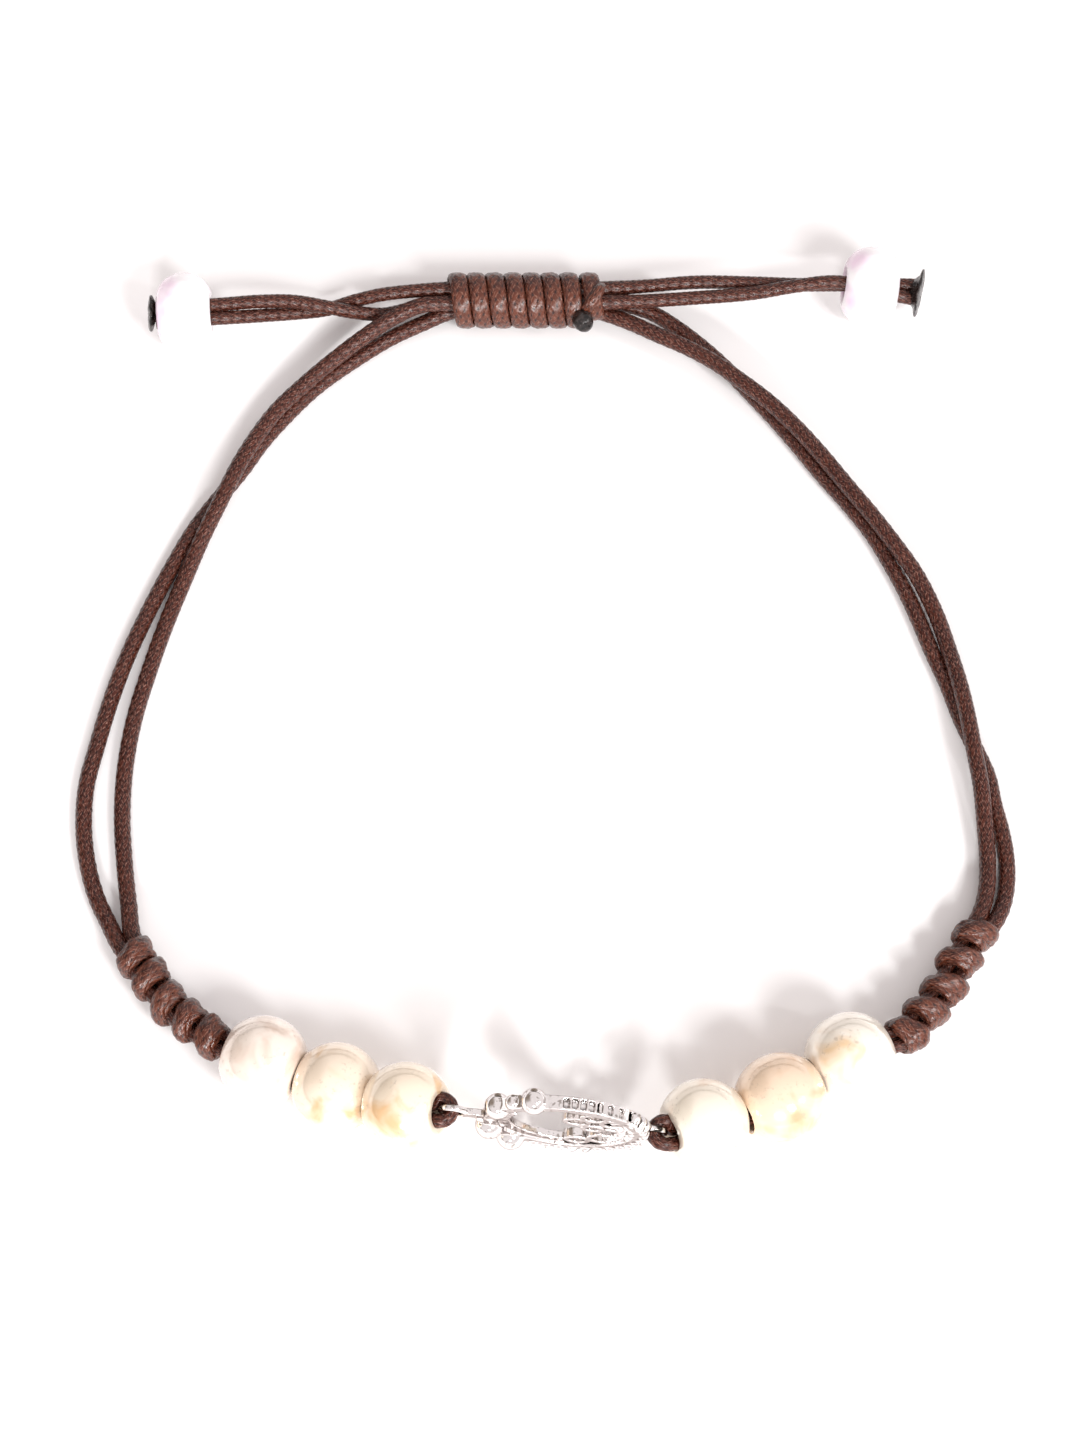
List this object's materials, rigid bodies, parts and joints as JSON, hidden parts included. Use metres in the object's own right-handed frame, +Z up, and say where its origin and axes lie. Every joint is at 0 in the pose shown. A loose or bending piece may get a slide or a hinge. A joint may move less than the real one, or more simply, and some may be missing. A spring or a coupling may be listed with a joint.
{
  "type": "adjustable beaded cord bracelet",
  "caption": "Adjustable bracelet of brown braided cord with cream beads beside a round openwork metal connector, macrame knots, a sliding knot and white end beads on its tails.",
  "frame": {"origin": "centre of the bracelet's outline, on the surface it lies on", "axes": "+Z up from the surface, -Y towards the openwork connector, +Y towards the sliding knot, +X to the right as seen from the connector's side"},
  "size_m": [0.0648, 0.0712, 0.0114],
  "materials": {
    "silver": "bright cast silver-coloured metal, polished on its high points",
    "pearl": "cream pearl lustre with a clear glossy coat",
    "white_bead": "glossy white with a faint pink and violet sheen",
    "cord": "brown waxed braided cord",
    "melted_cord": "glossy black melted cord"
  },
  "bodies": {
    "root": {"connector": "silver", "pearl_1": "pearl", "pearl_2": "pearl", "pearl_3": "pearl", "pearl_4": "pearl", "pearl_5": "pearl", "pearl_6": "pearl", "front_thread_left": "cord", "front_thread_right": "cord", "left_knot_1": "cord", "left_knot_2": "cord", "left_knot_3": "cord", "left_knot_4": "cord", "left_knot_5": "cord", "right_knot_1": "cord", "right_knot_2": "cord", "right_knot_3": "cord", "right_knot_4": "cord", "right_knot_5": "cord", "left_inner_strand": "cord", "left_outer_strand": "cord", "right_inner_strand": "cord", "right_outer_strand": "cord", "sliding_knot": "cord", "knot_tip": "melted_cord", "end_bead_left": "white_bead", "end_bead_right": "white_bead", "melted_end_left": "melted_cord", "melted_end_right": "melted_cord"}
  },
  "joints": []
}
